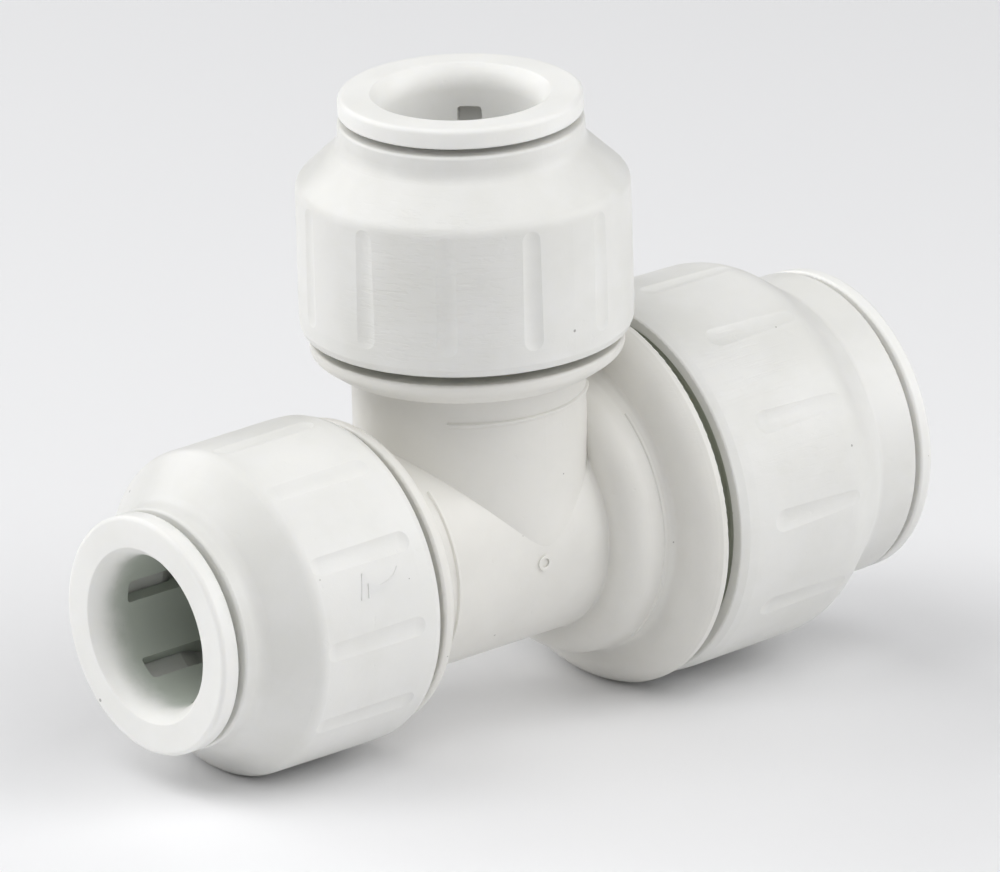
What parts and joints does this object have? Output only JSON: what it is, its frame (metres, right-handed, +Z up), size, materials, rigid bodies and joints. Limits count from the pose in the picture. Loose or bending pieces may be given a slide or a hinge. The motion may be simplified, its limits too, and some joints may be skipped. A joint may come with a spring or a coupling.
{
  "type": "push fit reducing tee",
  "caption": "Reducing tee for plastic or copper water pipe with twist-and-lock push-fit ports, each with a grooved screw cap, releasable collet, grab teeth and O-ring.",
  "frame": {"origin": "bottom centre of the whole fitting, on the lowest line of the large collar", "axes": "+X along the run from its small port to its large port, +Z up the branch, -Y is the front of the body"},
  "size_m": [0.0886, 0.0388, 0.065],
  "materials": {
    "white_acetal": "moulded white acetal, satin",
    "stainless_steel": "stamped stainless strip",
    "epdm_rubber": "moulded rubber, lightly greased"
  },
  "bodies": {
    "tee": {"tee_body": "white_acetal", "run_small_o_ring": "epdm_rubber", "branch_o_ring": "epdm_rubber", "run_large_o_ring": "epdm_rubber"},
    "run_small_spacer": {"run_small_spacer": "white_acetal"},
    "run_small_cap": {"run_small_cap": "white_acetal"},
    "run_small_collet": {"run_small_collet": "white_acetal", "run_small_tooth_1": "stainless_steel", "run_small_tooth_2": "stainless_steel", "run_small_tooth_3": "stainless_steel", "run_small_tooth_4": "stainless_steel", "run_small_tooth_5": "stainless_steel", "run_small_tooth_6": "stainless_steel"},
    "branch_spacer": {"branch_spacer": "white_acetal"},
    "branch_cap": {"branch_cap": "white_acetal"},
    "branch_collet": {"branch_collet": "white_acetal", "branch_tooth_1": "stainless_steel", "branch_tooth_2": "stainless_steel", "branch_tooth_3": "stainless_steel", "branch_tooth_4": "stainless_steel", "branch_tooth_5": "stainless_steel", "branch_tooth_6": "stainless_steel"},
    "run_large_spacer": {"run_large_spacer": "white_acetal"},
    "run_large_cap": {"run_large_cap": "white_acetal"},
    "run_large_collet": {"run_large_collet": "white_acetal", "run_large_tooth_1": "stainless_steel", "run_large_tooth_2": "stainless_steel", "run_large_tooth_3": "stainless_steel", "run_large_tooth_4": "stainless_steel", "run_large_tooth_5": "stainless_steel", "run_large_tooth_6": "stainless_steel", "run_large_tooth_7": "stainless_steel", "run_large_tooth_8": "stainless_steel"}
  },
  "joints": [
    {"name": "run_small_advance", "type": "slide", "parent": "tee", "child": "run_small_spacer", "axis": [1, 0, 0], "range_m": [0, 0.001]},
    {"name": "run_small_cap_turn", "type": "hinge", "parent": "run_small_spacer", "child": "run_small_cap", "pos_m": [-0.04425, 0, 0.0194], "axis": [1, 0, 0], "range_deg": [0, 90]},
    {"name": "run_small_collet_press", "type": "slide", "parent": "run_small_cap", "child": "run_small_collet", "axis": [1, 0, 0], "range_m": [-0.0005, 0.0006]},
    {"name": "branch_advance", "type": "slide", "parent": "tee", "child": "branch_spacer", "axis": [0, 0, -1], "range_m": [0, 0.001]},
    {"name": "branch_cap_turn", "type": "hinge", "parent": "branch_spacer", "child": "branch_cap", "pos_m": [-0.00265, 0, 0.06505], "axis": [0, 0, -1], "range_deg": [0, 90]},
    {"name": "branch_collet_press", "type": "slide", "parent": "branch_cap", "child": "branch_collet", "axis": [0, 0, -1], "range_m": [-0.0005, 0.0006]},
    {"name": "run_large_advance", "type": "slide", "parent": "tee", "child": "run_large_spacer", "axis": [-1, 0, 0], "range_m": [0, 0.0012]},
    {"name": "run_large_cap_turn", "type": "hinge", "parent": "run_large_spacer", "child": "run_large_cap", "pos_m": [0.04425, 0, 0.0194], "axis": [-1, 0, 0], "range_deg": [0, 90]},
    {"name": "run_large_collet_press", "type": "slide", "parent": "run_large_cap", "child": "run_large_collet", "axis": [-1, 0, 0], "range_m": [-0.0005, 0.0006]}
  ],
  "couplings": [
    {"joint": "run_small_advance", "follows": "run_small_cap_turn", "m_per_rad": 0.00063661},
    {"joint": "branch_advance", "follows": "branch_cap_turn", "m_per_rad": 0.00063661},
    {"joint": "run_large_advance", "follows": "run_large_cap_turn", "m_per_rad": 0.00076394}
  ]
}
